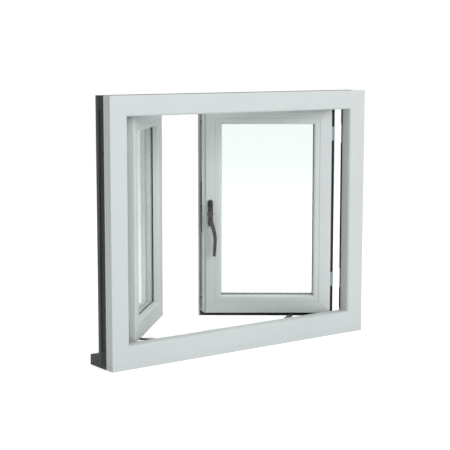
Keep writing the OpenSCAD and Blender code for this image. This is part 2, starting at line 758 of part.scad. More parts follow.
// Cranked lever: round hub, blade that swings aside and hangs down.  t runs
// from 0 at the spindle to 1 at the tip.
crank = 14;
function blade_e(t) = crank * (1 - cos(min(180, 300 * t))) / 2 - 3 * max(0, t - 0.6) / 0.4;
function blade_half(t) = lever_w / 2 * (1 - 0.25 * t);
module blade() {
    n = 14;
    low = 1 - lever_w / 2 / lever_l;
    left = [for (i = [0:n]) let (t = low * i / n) [blade_e(t) - blade_half(t), -lever_l * t]];
    right = [for (i = [n:-1:0]) let (t = low * i / n) [blade_e(t) + blade_half(t), -lever_l * t]];
    polygon(concat(left, right));
    translate([blade_e(low), -lever_l * low]) circle(r = blade_half(low));
}
lock_w = 14;
lock_end = 6;
socket_d = 9;
module handle_lever() {
    color(pewter) at_lock() translate([spindle_e, -base_t - base_gap, spindle_z]) rotate([90, 0, 0])
    difference() {
        union() {
            cylinder(r = hub_r, h = hub_t + lever_t);
            translate([0, 0, hub_t]) linear_extrude(lever_t) blade();
            translate([-lock_w / 2, -button_drop - lock_end, 0.4])
                cube([lock_w, button_drop + lock_end, hub_t + lever_t - 0.4]);
        }
        translate([-spindle_s / 2, -spindle_s / 2, -1]) cube([spindle_s, spindle_s, socket_d + 1]);
        translate([0, -button_drop, hub_t - 2]) cylinder(r = button_r + 0.1, h = lever_t + 4);
    }
}

// Square spindle with the round follower that turns in the gearbox
module handle_spindle() {
    reach = base_t + base_gap + bar_groove_v;
    color(steel) at_lock() translate([spindle_e, -base_t - base_gap, spindle_z]) rotate([-90, 0, 0]) {
        translate([-spindle_s / 2, -spindle_s / 2, -socket_d]) cube([spindle_s, spindle_s, socket_d + reach]);
        translate([0, 0, reach]) cylinder(r = follow_r, h = bar_groove_w);
    }
}

// Round push button of the handle's lock, standing a little proud
button_proud = 2;
module lock_button() {
    color(black) at_lock() translate([spindle_e, -base_t - base_gap - hub_t - 1.5, spindle_z - button_drop])
        rotate([90, 0, 0]) cylinder(r = button_r, h = lever_t + button_proud - 1.5);
}

frame_head();
frame_bottom();
frame_jamb_left();
frame_jamb_right();
frame_thermal_break();
frame_outer_profiles();
frame_corner_cleats();
frame_gasket();
sill();
sill_end_caps();
sill_inner_trim();
stay_tracks_left();
stay_tracks_right();
jamb_infill_strips();
hinge_dogs_frame();
bolt_keeps();
right_top_rail();
right_bottom_rail();
right_hinge_stile();
right_meeting_stile();
right_thermal_break();
right_outer_profiles();
right_glass_panes();
right_spacer();
right_beads();
right_gaskets();
right_weather_seal();
right_packers();
right_sash_bars();
right_hinge_dogs();
astragal();
left_top_rail();
left_bottom_rail();
left_hinge_stile();
left_meeting_stile();
left_thermal_break();
left_outer_profiles();
left_glass_panes();
left_spacer();
left_beads();
left_gaskets();
left_weather_seal();
left_packers();
left_sash_bars();
left_hinge_dogs();
meeting_bar();
stay_arms_left();
stay_arms_right();
stay_shoes_left();
stay_shoes_right();
shoot_bolt_top();
shoot_bolt_bottom();
espag_faceplate();
espag_gearbox();
espag_drive_bar();
handle_base();
handle_cap();
handle_lever();
handle_spindle();
lock_button();
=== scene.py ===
"""Double casement window with outward-opening sashes, standing on its sill."""

import json
import math

import bmesh
import bpy
import numpy as np
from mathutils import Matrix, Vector


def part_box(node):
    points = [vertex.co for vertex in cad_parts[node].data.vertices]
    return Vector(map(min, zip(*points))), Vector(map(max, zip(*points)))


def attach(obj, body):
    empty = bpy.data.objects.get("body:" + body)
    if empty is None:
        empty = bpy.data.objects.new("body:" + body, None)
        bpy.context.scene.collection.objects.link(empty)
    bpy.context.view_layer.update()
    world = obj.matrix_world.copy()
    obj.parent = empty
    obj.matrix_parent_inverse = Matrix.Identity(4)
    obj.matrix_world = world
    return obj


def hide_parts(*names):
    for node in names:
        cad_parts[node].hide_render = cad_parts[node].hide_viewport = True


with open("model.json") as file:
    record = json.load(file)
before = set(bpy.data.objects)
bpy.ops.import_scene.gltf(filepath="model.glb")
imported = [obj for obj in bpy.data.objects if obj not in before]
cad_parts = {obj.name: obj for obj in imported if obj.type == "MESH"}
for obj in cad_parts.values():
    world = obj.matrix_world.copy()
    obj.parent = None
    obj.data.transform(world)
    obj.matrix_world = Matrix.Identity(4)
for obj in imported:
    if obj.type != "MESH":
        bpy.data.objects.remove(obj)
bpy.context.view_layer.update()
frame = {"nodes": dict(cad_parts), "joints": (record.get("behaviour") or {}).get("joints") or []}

# ---- camera -------------------------------------------------------------------
# The window is looked at from the room, from its left and a little above its
# middle, through a long lens.
camera = bpy.data.objects.new("camera", bpy.data.cameras.new("camera"))
camera.location = (-2.0543, -2.7253, 0.8044)
camera.rotation_euler = (math.radians(90 - 7.730), math.radians(-0.04), math.radians(-36.386))
camera.data.lens = 101.18
camera.data.sensor_width = 36.0
camera.data.clip_end = 60
bpy.context.scene.collection.objects.link(camera)
bpy.context.scene.camera = camera


# ---- studio -------------------------------------------------------------------
# A pale floor in an even white surround, one large soft light in front of the
# window and a weaker one overhead.  Seen directly or through glass, the surround
# and the floor are white; what they throw on the window is weaker.
def soft_light(name, place, aim, size, power):
    """A square area light at place, turned towards aim."""
    light = bpy.data.lights.new(name, "AREA")
    light.size = size
    light.energy = power
    lamp = bpy.data.objects.new(name, light)
    lamp.location = place
    lamp.rotation_euler = (Vector(aim) - Vector(place)).to_track_quat("-Z", "Y").to_euler()
    bpy.context.scene.collection.objects.link(lamp)


soft_light("front_softbox", (0.2, -3.9, 2.1), (0, 0, 0.35), 2.2, 76)
soft_light("top_softbox", (0.2, 0.6, 3.4), (0, 0, 0), 2.6, 34)


def seen_or_thrown(tree, seen, thrown, socket):
    """Feeds a socket the value seen for rays from the camera or through glass,
    and the value thrown for all others."""
    ray = tree.nodes.new("ShaderNodeLightPath")
    direct = tree.nodes.new("ShaderNodeMath")
    direct.operation = "MAXIMUM"
    level = tree.nodes.new("ShaderNodeMapRange")
    level.inputs["To Min"].default_value = thrown
    level.inputs["To Max"].default_value = seen
    tree.links.new(ray.outputs["Is Camera Ray"], direct.inputs[0])
    tree.links.new(ray.outputs["Is Transmission Ray"], direct.inputs[1])
    tree.links.new(direct.outputs[0], level.inputs["Value"])
    tree.links.new(level.outputs[0], socket)


surround = bpy.data.worlds.new("surround")
surround.use_nodes = True
backdrop = surround.node_tree.nodes["Background"]
backdrop.inputs["Color"].default_value = (0.98, 0.99, 1.0, 1)
seen_or_thrown(surround.node_tree, 1.05, 0.57, backdrop.inputs["Strength"])
bpy.context.scene.world = surround
bpy.context.scene.view_settings.view_transform = "Standard"

floor_reach = 30.0
floor_mesh = bpy.data.meshes.new("floor")
floor_corners = [(x * floor_reach, y * floor_reach, 0) for x, y in ((-1, -1), (1, -1), (1, 1), (-1, 1))]
floor_mesh.from_pydata(floor_corners, [], [(0, 1, 2, 3)])
floor = bpy.data.objects.new("floor", floor_mesh)
floor_paint = bpy.data.materials.new("floor_paint")
floor_paint.use_nodes = True
floor_shader = floor_paint.node_tree.nodes["Principled BSDF"]
floor_shader.inputs["Base Color"].default_value = (0.9, 0.9, 0.9, 1)
floor_shader.inputs["Roughness"].default_value = 0.9
floor_shader.inputs["Specular IOR Level"].default_value = 0.1
floor_shader.inputs["Emission Color"].default_value = (1, 1, 1, 1)
seen_or_thrown(floor_paint.node_tree, 0.5, 0.0, floor_shader.inputs["Emission Strength"])
floor_mesh.materials.append(floor_paint)
bpy.context.scene.collection.objects.link(floor)


# ---- outer frame, room side ------------------------------------------------------
# Four extruded aluminium lengths with a rounded inner edge, cut at 45 degrees,
# cleated and crimped at the corners, and powder coated cool white.
def eased(outline, radius, steps=3):
    """An outline with every corner rounded.  A corner P is left at P + ta and
    met again at P + tb along its two edges, and the curve between is the
    parabola (1-s)^2 (P+ta) + 2s(1-s) P + s^2 (P+tb).  radius may be one number
    or one for each corner."""
    p = np.asarray(outline, float)
    r = np.broadcast_to(np.asarray(radius, float), len(p))[:, None]
    a, b = np.roll(p, 1, 0) - p, np.roll(p, -1, 0) - p
    la, lb = np.linalg.norm(a, axis=1)[:, None], np.linalg.norm(b, axis=1)[:, None]
    reach = np.minimum(r, 0.45 * np.minimum(la, lb))
    s = np.linspace(0, 1, steps + 1)[None, :, None]
    start, stop, corner = (p + a / la * reach)[:, None], (p + b / lb * reach)[:, None], p[:, None]
    return ((1 - s) ** 2 * start + 2 * s * (1 - s) * corner + s ** 2 * stop).reshape(-1, 2)


def run_between(first, last):
    """The closed surface that joins two copies of an outline, (n, 3) points
    each: a quad for every edge and a flat cap at both ends.  Its own map
    holds metres along the run and metres round the outline."""
    n = len(first)
    k = np.arange(n)
    nxt = (k + 1) % n
    points = np.vstack([first, last])
    quads = np.column_stack([k, nxt, nxt + n, k + n])
    girth = np.concatenate([[0], np.cumsum(np.linalg.norm(np.roll(first, -1, 0) - first, axis=1))])
    length = np.linalg.norm(last - first, axis=1)
    along = np.column_stack([0 * length, 0 * length, length[nxt], length])
    round_it = np.column_stack([girth[:-1], girth[1:], girth[1:], girth[:-1]])
    quad_map = np.stack([along, round_it], 2).reshape(-1, 2)
    cap = first - first[0]
    cap_map = np.column_stack([cap @ (first[1] - first[0]), cap[:, 2]])
    faces = quads.tolist() + [k[::-1].tolist(), (k + n).tolist()]
    return points, faces, np.vstack([quad_map, cap_map[::-1], cap_map])


saw_gap = 0.00008


def mitred(outline, rectangle, side, place, gap=saw_gap):
    """One side of a rectangular frame.  An outline point (e, v) lies e inside
    the rectangle's edge and v deep; it starts e past one corner and stops e
    short of the next, which cuts both ends at 45 degrees."""
    (a0, b0), (a1, b1) = rectangle
    e, v = np.asarray(outline).T
    low_a, high_a, low_b, high_b = a0 + e, a1 - e, b0 + e, b1 - e
    if side in ("bottom", "top"):
        b = low_b if side == "bottom" else high_b
        return run_between(place(low_a + gap, v, b), place(high_a - gap, v, b))
    a = low_a if side == "left" else high_a
    return run_between(place(a, v, low_b + gap), place(a, v, high_b - gap))


def lay_mesh(name, parts, sharp=32.0):
    """One object from several (points, faces, map) surfaces.  All faces are
    turned outwards, and edges over the sharp angle stay crisp."""
    points, faces, maps, base = [], [], [], 0
    for p, f, m in parts:
        points.append(p)
        faces += [[i + base for i in face] for face in f]
        maps.append(m)
        base += len(p)
    mesh = bpy.data.meshes.new(name)
    mesh.from_pydata(np.vstack(points).tolist(), [], faces)
    layer = mesh.uv_layers.new(name="along")
    layer.data.foreach_set("uv", np.vstack(maps).astype(np.float32).ravel())
    shape = bmesh.new()
    shape.from_mesh(mesh)
    bmesh.ops.recalc_face_normals(shape, faces=shape.faces)
    shape.to_mesh(mesh)
    shape.free()
    mesh.shade_smooth()
    mesh.set_sharp_from_angle(angle=math.radians(sharp))
    piece = bpy.data.objects.new(name, mesh)
    bpy.context.scene.collection.objects.link(piece)
    return piece


def fit(piece, material, body, slot, *nodes):
    """Gives a piece its finish and body, and the CAD nodes that it stands for."""
    piece.data.materials.clear()
    piece.data.materials.append(material)
    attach(piece, body)
    if nodes:
        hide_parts(*nodes)
    return piece


def node_group(name, inputs, outputs):
    """An empty shader group: inputs are (name, kind, value), outputs (name, kind)."""
    tree = bpy.data.node_groups.new(name, "ShaderNodeTree")
    for label, kind, value in inputs:
        socket = tree.interface.new_socket(name=label, in_out="INPUT", socket_type=kind)
        if value is not None:
            socket.default_value = value
    for label, kind in outputs:
        tree.interface.new_socket(name=label, in_out="OUTPUT", socket_type=kind)
    return tree, tree.nodes.new("NodeGroupInput").outputs, tree.nodes.new("NodeGroupOutput").inputs


def add_node(tree, kind, links=(), **values):
    """A node with its settings and input values, joined to the given outputs.
    Names that are settings of the node are set on it, the rest on its inputs."""
    node = tree.nodes.new(kind)
    for key, value in values.items():
        if hasattr(node, key):
            setattr(node, key, value)
        else:
            node.inputs[key.replace("_", " ").title()].default_value = value
    for target, source in links:
        tree.links.new(source, node.inputs[target])
    return node


NUMBER, COLOUR, DIRECTION = "NodeSocketFloat", "NodeSocketColor", "NodeSocketVector"

# Powder coating: a faint orange peel a millimetre or two across, slightly
# uneven gloss, clouds of tone and a little grey dust.
coat_skin, coat_in, coat_out = node_group(
    "powder_coat_skin",
    [("Place", DIRECTION, None), ("Colour", COLOUR, (0.6, 0.6, 0.6, 1)), ("Gloss", NUMBER, 0.4),
     ("Peel Size", NUMBER, 900.0), ("Grit", NUMBER, 0.0), ("Dust", NUMBER, 0.05)],
    [("Colour", COLOUR), ("Roughness", NUMBER), ("Height", NUMBER)])
peel = add_node(coat_skin, "ShaderNodeTexNoise",
                [("Vector", coat_in["Place"]), ("Scale", coat_in["Peel Size"])], Detail=2.0)
grit = add_node(coat_skin, "ShaderNodeTexNoise", [("Vector", coat_in["Place"])], Scale=5200.0, Detail=1.0)
clouds = add_node(coat_skin, "ShaderNodeTexNoise", [("Vector", coat_in["Place"])], Scale=7.0, Detail=5.0)
cloud_mask = add_node(coat_skin, "ShaderNodeMapRange", [("Value", clouds.outputs["Fac"])])
cloud_mask.inputs["From Min"].default_value = 0.35
cloud_mask.inputs["From Max"].default_value = 0.7
cloud_amount = add_node(coat_skin, "ShaderNodeMath",
                        [(0, cloud_mask.outputs[0]), (1, coat_in["Dust"])], operation="MULTIPLY")
tone = add_node(coat_skin, "ShaderNodeMix", [(0, cloud_amount.outputs[0])], data_type="RGBA")
tone.inputs[7].default_value = (0.42, 0.41, 0.39, 1)
coat_skin.links.new(coat_in["Colour"], tone.inputs[6])
coat_skin.links.new(tone.outputs[2], coat_out["Colour"])
gloss_shift = add_node(coat_skin, "ShaderNodeMapRange", [("Value", clouds.outputs["Fac"])])
gloss_shift.inputs["To Min"].default_value = -0.05
gloss_shift.inputs["To Max"].default_value = 0.07
gloss = add_node(coat_skin, "ShaderNodeMath",
                 [(0, gloss_shift.outputs[0]), (1, coat_in["Gloss"])], operation="ADD")
coat_skin.links.new(gloss.outputs[0], coat_out["Roughness"])
grit_height = add_node(coat_skin, "ShaderNodeMath",
                       [(0, grit.outputs["Fac"]), (1, coat_in["Grit"])], operation="MULTIPLY")
skin_height = add_node(coat_skin, "ShaderNodeMath",
                       [(0, peel.outputs["Fac"]), (1, grit_height.outputs[0])], operation="ADD")
coat_skin.links.new(skin_height.outputs[0], coat_out["Height"])


def plain_material(name, **shader):
    """A material, its shader with the constants that are set on it, and its place."""
    material = bpy.data.materials.new(name)
    material.use_nodes = True
    tree = material.node_tree
    bsdf = tree.nodes["Principled BSDF"]
    for key, value in shader.items():
        bsdf.inputs[key.replace("_", " ")].default_value = value
    place = add_node(tree, "ShaderNodeTexCoord").outputs["Object"]
    return material, tree, bsdf, place


def add_bump(tree, bsdf, height, strength, distance):
    """Feeds a height, in distance metres, to the shader's normal."""
    bump = add_node(tree, "ShaderNodeBump", [("Height", height)])
    bump.inputs["Strength"].default_value = strength
    bump.inputs["Distance"].default_value = distance
    tree.links.new(bump.outputs[0], bsdf.inputs["Normal"])


def powder_coat(name, colour, gloss, peel_size, grit_amount, dust, bump):
    """A powder coated aluminium surface."""
    material, tree, bsdf, place = plain_material(name)
    skin = add_node(tree, "ShaderNodeGroup", node_tree=coat_skin)
    tree.links.new(place, skin.inputs["Place"])
    for label, value in (("Colour", (*colour, 1)), ("Gloss", gloss), ("Peel Size", peel_size),
                         ("Grit", grit_amount), ("Dust", dust)):
        skin.inputs[label].default_value = value
    tree.links.new(skin.outputs["Colour"], bsdf.inputs["Base Color"])
    tree.links.new(skin.outputs["Roughness"], bsdf.inputs["Roughness"])
    add_bump(tree, bsdf, skin.outputs["Height"], bump, 0.00012)
    return material


frame_white = powder_coat("frame_white_powder_coat", (0.625, 0.668, 0.662), 0.36, 700.0, 0.15, 0.07, 0.35)
frame_low, frame_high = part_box("frame_head")[0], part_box("frame_head")[1]
bottom_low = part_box("frame_bottom")[0]
frame_rectangle = ((frame_low.x, bottom_low.z), (frame_high.x, frame_high.z))
frame_sight = frame_high.z - frame_low.z
room_face = frame_low.y
upstand_back = frame_high.y
track_recess = 0.0035
rebate_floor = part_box("stay_tracks_right")[0].z - bottom_low.z + track_recess
inner_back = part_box("sill_inner_trim")[1].y
inner_round = 0.0095
lug_depth, lug_w = 0.0011, 0.0042


def in_frame(a, v, b):
    """The frame's own place: a is X, v is Y and b is Z."""
    return np.column_stack([a, v, b])


lug_at = (room_face + 0.0095, room_face + 0.0215)
frame_outline = [(0, room_face), (frame_sight, room_face), (frame_sight, upstand_back),
                 (rebate_floor, upstand_back), (rebate_floor, inner_back), (0, inner_back)]
frame_radii = [0.0002, inner_round, 0.0008, 0.0006, 0.0004, 0.0005]
for v in lug_at[::-1]:
    back, front = v + lug_w / 2, v - lug_w / 2
    frame_outline += [(0, back), (lug_depth, back), (lug_depth, front), (0, front)]
    frame_radii += [0.0003] * 4
frame_outline = eased(frame_outline, frame_radii, 8)
for side, node in (("top", "frame_head"), ("bottom", "frame_bottom"),
                   ("left", "frame_jamb_left"), ("right", "frame_jamb_right")):
    piece = lay_mesh(node + "_profile", [mitred(frame_outline, frame_rectangle, side, in_frame)])
    fit(piece, frame_white, "frame", "frame_white", node)

# ---- outer frame, outdoor side and thermal break ----------------------------------
# The outdoor half is a dark grey aluminium profile.  Black polyamide strips roll
# into both halves and hold them apart; a groove shows them along the jambs.
anthracite = powder_coat("anthracite_powder_coat", (0.052, 0.058, 0.052), 0.5, 2600.0, 0.9, 0.05, 0.5)
outer_low, outer_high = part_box("frame_outer_profiles")
recess_stop = 0.0305
outdoor_outline = eased([(0, outer_low.y), (rebate_floor - track_recess, outer_low.y),
                         (rebate_floor - track_recess, recess_stop), (rebate_floor, recess_stop),
                         (rebate_floor, outer_high.y), (0, outer_high.y)],
                        [0.0004, 0.0003, 0.0003, 0.0005, 0.0012, 0.0012])
sides = ("top", "bottom", "left", "right")
piece = lay_mesh("frame_outdoor_members",
                 [mitred(outdoor_outline, frame_rectangle, s, in_frame) for s in sides])
fit(piece, anthracite, "frame", "anthracite", "frame_outer_profiles")

# Drawn and rolled surfaces: fine lines that run with the length, over a faint mottle.
drawn_grain, grain_in, grain_out = node_group(
    "drawn_grain",
    [("Place", DIRECTION, None), ("Stretch", DIRECTION, (1.0, 40.0, 40.0)), ("Fineness", NUMBER, 60.0)],
    [("Lines", NUMBER), ("Mottle", NUMBER)])
stretched = add_node(drawn_grain, "ShaderNodeVectorMath",
                     [(0, grain_in["Place"]), (1, grain_in["Stretch"])], operation="MULTIPLY")
lines = add_node(drawn_grain, "ShaderNodeTexNoise",
                 [("Vector", stretched.outputs[0]), ("Scale", grain_in["Fineness"])], Detail=4.0)
mottle = add_node(drawn_grain, "ShaderNodeTexNoise",
                  [("Vector", grain_in["Place"])], Scale=160.0, Detail=4.0)
drawn_grain.links.new(lines.outputs["Fac"], grain_out["Lines"])
drawn_grain.links.new(mottle.outputs["Fac"], grain_out["Mottle"])


def blend_colours(tree, mask, low, high):
    """Colour low where the mask is 0 and high where it is 1."""
    ramp = add_node(tree, "ShaderNodeValToRGB", [("Fac", mask)])
    ramp.color_ramp.elements[0].color = (*low, 1)
    ramp.color_ramp.elements[1].color = (*high, 1)
    ramp.color_ramp.elements[0].position = 0.3
    ramp.color_ramp.elements[1].position = 0.7
    return ramp.outputs["Color"]


def value_range(tree, mask, low, high):
    """A value from low to high as the mask goes from 0.3 to 0.7."""
    span = add_node(tree, "ShaderNodeMapRange", [("Value", mask)])
    for label, value in (("From Min", 0.3), ("From Max", 0.7), ("To Min", low), ("To Max", high)):
        span.inputs[label].default_value = value
    return span.outputs[0]


def drawn_material(name, low, high, rough, metallic=0.0, mapped=False, stretch=(1, 40, 40), bump=0.25):
    """A drawn, rolled or extruded surface.  mapped pieces take the lines from
    their own map, along the run; the others from their place, along X."""
    material, tree, bsdf, place = plain_material(name, Metallic=metallic)
    if mapped:
        place = add_node(tree, "ShaderNodeUVMap", uv_map="along").outputs[0]
    grain = add_node(tree, "ShaderNodeGroup", [("Place", place)], node_tree=drawn_grain)
    grain.inputs["Stretch"].default_value = stretch
    tree.links.new(blend_colours(tree, grain.outputs["Lines"], low, high), bsdf.inputs["Base Color"])
    tree.links.new(value_range(tree, grain.outputs["Mottle"], *rough), bsdf.inputs["Roughness"])
    add_bump(tree, bsdf, grain.outputs["Lines"], bump, 0.00006)
    return material


polyamide = drawn_material("glass_filled_polyamide", (0.012, 0.014, 0.013), (0.032, 0.036, 0.034),
                           (0.48, 0.66), stretch=(12, 12, 1))


def coat_node(node, material):
    """Gives a CAD node that stays as it is its finish."""
    frame["nodes"][node].data.materials.clear()
    frame["nodes"][node].data.materials.append(material)


coat_node("frame_thermal_break", polyamide)

# ---- corner cleats and frame gasket ------------------------------------------------
# Sawn aluminium cleats join the mitres from inside.  A black rubber gasket with a
# hollow bulb sits on the back of the upstand and meets the closed sashes.
mill_aluminium = drawn_material("mill_finish_aluminium", (0.42, 0.43, 0.43), (0.56, 0.57, 0.57),
                                (0.3, 0.46), metallic=1.0)
coat_node("frame_corner_cleats", mill_aluminium)


def rubber(name):
    """Extruded rubber: near black, with a grey bloom where it has been handled."""
    material, tree, bsdf, place = plain_material(name, Specular_IOR_Level=0.35, Sheen_Weight=0.08)
    bloom = add_node(tree, "ShaderNodeTexNoise", [("Vector", place)], Scale=70.0, Detail=5.0)
    tree.links.new(blend_colours(tree, bloom.outputs["Fac"], (0.012, 0.013, 0.013), (0.03, 0.032, 0.032)),
                   bsdf.inputs["Base Color"])
    tree.links.new(value_range(tree, bloom.outputs["Fac"], 0.55, 0.8), bsdf.inputs["Roughness"])
    grain = add_node(tree, "ShaderNodeTexNoise", [("Vector", place)], Scale=2400.0, Detail=2.0)
    add_bump(tree, bsdf, grain.outputs["Fac"], 0.3, 0.00008)
    return material


epdm = rubber("epdm_rubber")
gasket_low, gasket_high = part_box("frame_gasket")
seal_edge = gasket_low.x - frame_low.x
seal_w = 0.0055
seal_t = gasket_high.y - gasket_low.y
turn = np.linspace(0, math.pi, 13)
bulb = np.column_stack([seal_edge + seal_w / 2 - seal_w / 2 * np.cos(turn),
                        gasket_low.y + seal_t * np.sin(turn) ** 0.7])
piece = lay_mesh("frame_bulb_gasket", [mitred(bulb, frame_rectangle, s, in_frame, 0.0) for s in sides], 60)
fit(piece, epdm, "frame", "gasket", "frame_gasket")

# ---- sill -------------------------------------------------------------------------------
# A hollow dark grey extrusion: flat under the frame, then a slope to a nose with a
# drip groove underneath.  Caps close its ends, and white trim fronts it indoors.
sill_low, sill_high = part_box("sill")
cap_low, cap_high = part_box("sill_end_caps")
seat_z, nose_z = bottom_low.z, 0.028
drip_at, drip_w, drip_d = 0.012, 0.004, 0.003


def along_x(outline, x0, x1):
    """Carries a (y, z) outline straight along X from x0 to x1."""
    first, last = (np.column_stack([np.full(len(outline), x), outline]) for x in (x0, x1))
    return run_between(first, last)


nose_y = sill_high.y
sill_corners = [(sill_low.y, 0), (nose_y - drip_at, 0), (nose_y - drip_at, drip_d),
                (nose_y - drip_at + drip_w, drip_d), (nose_y - drip_at + drip_w, 0), (nose_y, 0),
                (nose_y, nose_z), (outer_high.y, sill_high.z), (outer_high.y, seat_z), (sill_low.y, seat_z)]
sill_radii = [0.0005, 0.0006, 0.0004, 0.0004, 0.0006, 0.0016, 0.0035, 0.0008, 0.0003, 0.0005]
sill_outline = eased(sill_corners, sill_radii, 5)
cap_gap = 0.00006
piece = lay_mesh("sill_profile", [along_x(sill_outline, sill_low.x + cap_gap, sill_high.x - cap_gap)])
fit(piece, anthracite, "frame", "anthracite", "sill")

cap_t = cap_high.x - sill_high.x
cap_ease = 0.0002


def grown(outline, by):
    """An outline moved outwards by a distance, along the mean of each point's
    two edge normals; by is negative to shrink it."""
    p = np.asarray(outline, float)
    d = np.roll(p, -1, 0) - np.roll(p, 1, 0)
    normal = np.column_stack([d[:, 1], -d[:, 0]]) / np.maximum(np.linalg.norm(d, axis=1), 1e-9)[:, None]
    return p + by * normal


def layers(stations):
    """The closed surface through several copies of one outline, (n, 3) points
    each, with a flat cap on the first and on the last."""
    n = len(stations[0])
    k = np.arange(n)
    points = np.vstack(stations)
    rows = np.arange(len(stations) - 1)[:, None] * n
    quads = np.stack([rows + k, rows + (k + 1) % n, rows + (k + 1) % n + n, rows + k + n], 2).reshape(-1, 4)
    faces = quads.tolist() + [k[::-1].tolist(), (k + (len(stations) - 1) * n).tolist()]
    loops = np.concatenate([quads.ravel(), k[::-1], k + (len(stations) - 1) * n])
    return points, faces, points[loops][:, [0, 2]]


end_caps = []
for outer, inner in ((cap_low.x, cap_low.x + cap_t), (cap_high.x, cap_high.x - cap_t)):
    step = math.copysign(cap_ease, inner - outer)
    stations = [(outer, -cap_ease), (outer + step * 0.3, -cap_ease * 0.3), (outer + step, 0), (inner, 0)]
    end_caps.append(layers([np.column_stack([np.full(len(sill_outline), x), grown(sill_outline, by)])
                            for x, by in stations]))
piece = lay_mesh("sill_caps", end_caps, 50)
fit(piece, anthracite, "frame", "anthracite", "sill_end_caps")

trim_low, trim_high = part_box("sill_inner_trim")
trim_top = trim_high.z - saw_gap
trim_outline = eased([(trim_low.y, trim_low.z), (trim_high.y, trim_low.z), (trim_high.y, trim_top),
                      (trim_low.y, trim_top)], 0.0002, 4)
piece = lay_mesh("sill_room_trim", [along_x(trim_outline, trim_low.x, trim_high.x)])
fit(piece, frame_white, "frame", "frame_white", "sill_inner_trim")

# ---- sash frames ---------------------------------------------------------------------------
# Each sash is four hollow aluminium lengths with mitred, cleated corners.  The
# stile where the sashes meet is stepped, with a groove for the lock's drive bar.
# The sash paint is the frame's white made about six per cent lighter: painted light that makes up for the
# shade the sashes stand in, set back behind the frame.
sash_white = powder_coat("sash_white_powder_coat", (0.66, 0.71, 0.70), 0.34, 700.0, 0.15, 0.08, 0.35)
stay_depth, pivot_inset = 0.018, 0.006
hands = ("right", "left")


def sash_axes(hand):
    """A sash's pivot line, the direction from it to the meeting edge and the
    direction outdoors, turned from closed by the angle at rest."""
    shoe = next(j for j in frame["joints"] if j["name"] == f"stay_shoes_{hand}_turn")
    opening = -math.radians(shoe["range_deg"][0])
    turn_to = 1 if hand == "left" else -1
    c, s = math.cos(opening), math.sin(opening)
    pivot = np.array([shoe["pos_m"][0], shoe["pos_m"][1], 0])
    return pivot, np.array([turn_to * c, s, 0]), np.array([-turn_to * s, c, 0])


def in_sash(hand):
    """The sash's own place: u from the pivot to the meeting edge, v deep from
    the room face, and height z."""
    pivot, along, outdoors = sash_axes(hand)

    def place(u, v, z):
        u, v, z = np.broadcast_arrays(np.asarray(u, float), v, z)
        return pivot + u[:, None] * along + (v - stay_depth)[:, None] * outdoors + z[:, None] * (0, 0, 1)
    return place


def sash_extent(hand, node):
    """Lowest and highest (u, v, z) of a CAD node in its sash's own place."""
    pivot, along, outdoors = sash_axes(hand)
    mesh = frame["nodes"][node].data
    co = np.empty(len(mesh.vertices) * 3)
    mesh.vertices.foreach_get("co", co)
    co = co.reshape(-1, 3) - pivot
    local = np.column_stack([co @ along, co @ outdoors + stay_depth, co[:, 2]])
    return local.min(0), local.max(0)


rail_low, rail_high = sash_extent("right", "right_bottom_rail")
sash_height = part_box("right_top_rail")[1].z - rail_low[2]
sash_rectangle = ((-pivot_inset, rail_low[2]), (rail_high[0], rail_low[2] + sash_height))
face_w, room_depth = 0.033, rail_high[1]
meet_face, meet_step, step_depth = 0.006, 0.005, 0.008
groove_top, groove_end, groove_in = 0.010, 0.020, 0.005
rail_outline = eased([(0, 0), (face_w, 0), (face_w, room_depth), (0, room_depth)],
                     [0.0016, 0.0004, 0.0003, 0.0004], 5)
stile_outline = eased([(meet_face, 0), (face_w, 0), (face_w, room_depth), (-meet_step, room_depth),
                       (-meet_step, groove_end), (groove_in - meet_step, groove_end),
                       (groove_in - meet_step, groove_top), (-meet_step, groove_top),
                       (-meet_step, step_depth), (meet_face, step_depth)],
                      [0.0016, 0.0004, 0.0003, 0.0004, 0.0003, 0.0003, 0.0003, 0.0003, 0.0006, 0.0005], 4)


def stile_run(outline, side, place, low_z, high_z):
    """A mitred side cut level at both ends where its step would pass the rails."""
    points, faces, piece_map = mitred(outline, sash_rectangle, side, place)
    points[:, 2] = np.clip(points[:, 2], low_z, high_z)
    return points, faces, piece_map


sash_span = (sash_rectangle[0][1], sash_rectangle[1][1])
for hand in hands:
    place = in_sash(hand)
    for side, node in (("top", "top_rail"), ("bottom", "bottom_rail"), ("left", "hinge_stile")):
        piece = lay_mesh(f"{hand}_{node}_profile", [mitred(rail_outline, sash_rectangle, side, place)])
        fit(piece, sash_white, f"sash_{hand}", "sash_white", f"{hand}_{node}")
    meeting_stile = stile_run(stile_outline, "right", place, *sash_span)
    piece = lay_mesh(f"{hand}_meeting_stile_profile", [meeting_stile])
    fit(piece, sash_white, f"sash_{hand}", "sash_white", f"{hand}_meeting_stile")
    coat_node(f"{hand}_thermal_break", polyamide)

